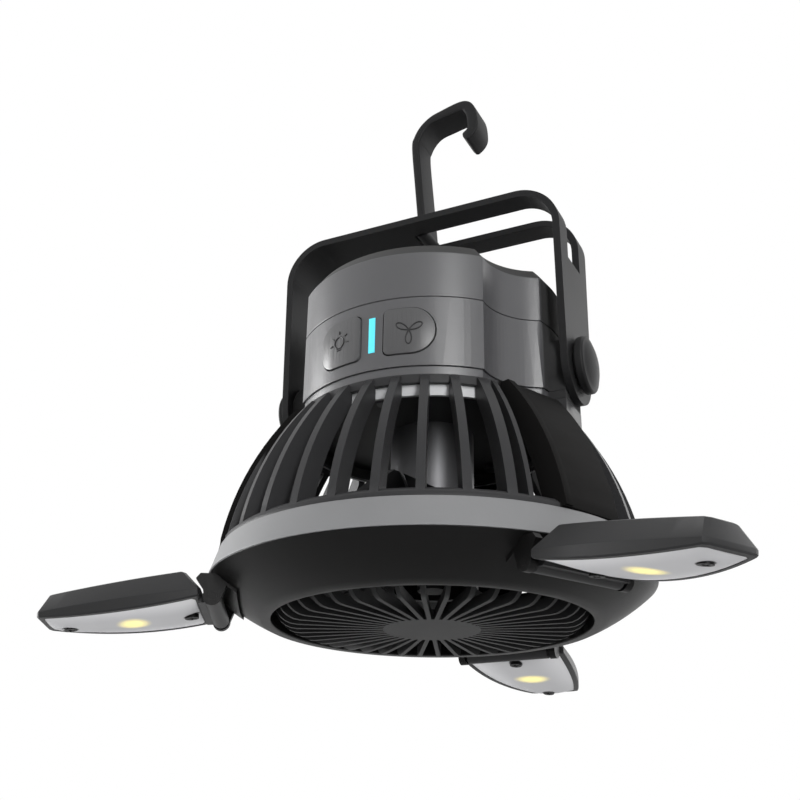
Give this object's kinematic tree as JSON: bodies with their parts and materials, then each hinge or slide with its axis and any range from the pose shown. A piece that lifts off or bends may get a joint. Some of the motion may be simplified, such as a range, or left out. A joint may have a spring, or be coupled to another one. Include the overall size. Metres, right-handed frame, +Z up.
{
  "type": "portable camping fan",
  "caption": "Hanging battery fan with a slatted cage, round air grille, hinged fold-under lamps, tilting bracket and folding hook.",
  "frame": {"origin": "centre of the grille hub's underside", "axes": "+Z up along the fan's axis towards the hook, -Y towards the control panel, X along the bracket's pivots"},
  "size_m": [0.1408, 0.1241, 0.1306],
  "materials": {
    "charcoal": "fine matt moulded plastic",
    "housing_grey": "fine matt moulded plastic with a soft sheen",
    "band_grey": "matt plastic, a lighter grey",
    "skirt_grey": "pale grey plastic",
    "black_plastic": "black plastic with a slight sheen",
    "steel": "plain steel",
    "rubber": "black rubber",
    "indicator": "clear cyan light guide",
    "socket_metal": "drawn metal shell",
    "board": "green circuit board",
    "cell_wrap": "shrink wrap",
    "brass": "bare brass",
    "motor_steel": "zinc-plated steel",
    "button_grey": "fine matt plastic",
    "lens": "milky translucent plastic",
    "lamp_board": "white board with a warm diode"
  },
  "bodies": {
    "base": {"housing_cap": "charcoal", "housing_body": "housing_grey", "lower_collar": "charcoal", "deck": "skirt_grey", "slat_cage": "charcoal", "ring_band": "band_grey", "bottom_ring": "black_plastic", "front_grille": "black_plastic", "lamp_hinge_brackets": "band_grey", "lamp_pins": "steel", "pivot_studs": "steel", "pivot_caps": "charcoal", "pivot_washers": "rubber", "indicator_lens": "indicator", "charging_socket": "socket_metal", "charging_board": "board", "control_board": "board", "button_switches": "black_plastic", "battery_cell": "cell_wrap", "battery_holder": "black_plastic", "battery_contacts": "brass", "case_screws": "steel", "motor_can": "motor_steel", "motor_end_cap": "black_plastic", "motor_bearings": "steel", "motor_magnets": "motor_steel"},
    "rotor": {"fan_wheel": "skirt_grey", "motor_shaft": "steel", "motor_armature": "brass"},
    "handle": {"bracket": "charcoal", "hook_pin": "steel"},
    "hook": {"hook": "charcoal"},
    "light_button": {"light_button": "button_grey"},
    "fan_button": {"fan_button": "button_grey"},
    "left_lamp": {"left_lamp_back": "charcoal", "left_lamp_lens": "lens", "left_lamp_board": "lamp_board", "left_lamp_screws": "steel"},
    "right_lamp": {"right_lamp_back": "charcoal", "right_lamp_lens": "lens", "right_lamp_board": "lamp_board", "right_lamp_screws": "steel"},
    "rear_lamp": {"rear_lamp_back": "charcoal", "rear_lamp_lens": "lens", "rear_lamp_board": "lamp_board", "rear_lamp_screws": "steel"}
  },
  "joints": [
    {"name": "fan_spin", "type": "hinge", "parent": "base", "child": "rotor", "pos_m": [0, 0, 0.016], "axis": [0, 0, 1], "continuous": true},
    {"name": "bracket_tilt", "type": "hinge", "parent": "base", "child": "handle", "pos_m": [0, 0, 0.0528], "axis": [1, 0, 0], "range_deg": [-95, 95]},
    {"name": "hook_fold", "type": "hinge", "parent": "handle", "child": "hook", "pos_m": [-0.0011, 0, 0.0929], "axis": [0, 1, 0], "range_deg": [0, 90]},
    {"name": "left_lamp_fold", "type": "hinge", "parent": "base", "child": "left_lamp", "pos_m": [-0.03784, -0.02185, 0.0029], "axis": [0.5, -0.866, 0], "range_deg": [0, 145]},
    {"name": "right_lamp_fold", "type": "hinge", "parent": "base", "child": "right_lamp", "pos_m": [0.03784, -0.02185, 0.0029], "axis": [0.5, 0.866, 0], "range_deg": [0, 145]},
    {"name": "rear_lamp_fold", "type": "hinge", "parent": "base", "child": "rear_lamp", "pos_m": [0, 0.0437, 0.0029], "axis": [-1, 0, 0], "range_deg": [0, 145]},
    {"name": "light_button_press", "type": "slide", "parent": "base", "child": "light_button", "axis": [0.2656, 0.9641, 0], "range_m": [0, 0.0006], "stiffness_N_per_m": 600},
    {"name": "fan_button_press", "type": "slide", "parent": "base", "child": "fan_button", "axis": [-0.2656, 0.9641, 0], "range_m": [0, 0.0006], "stiffness_N_per_m": 600}
  ]
}
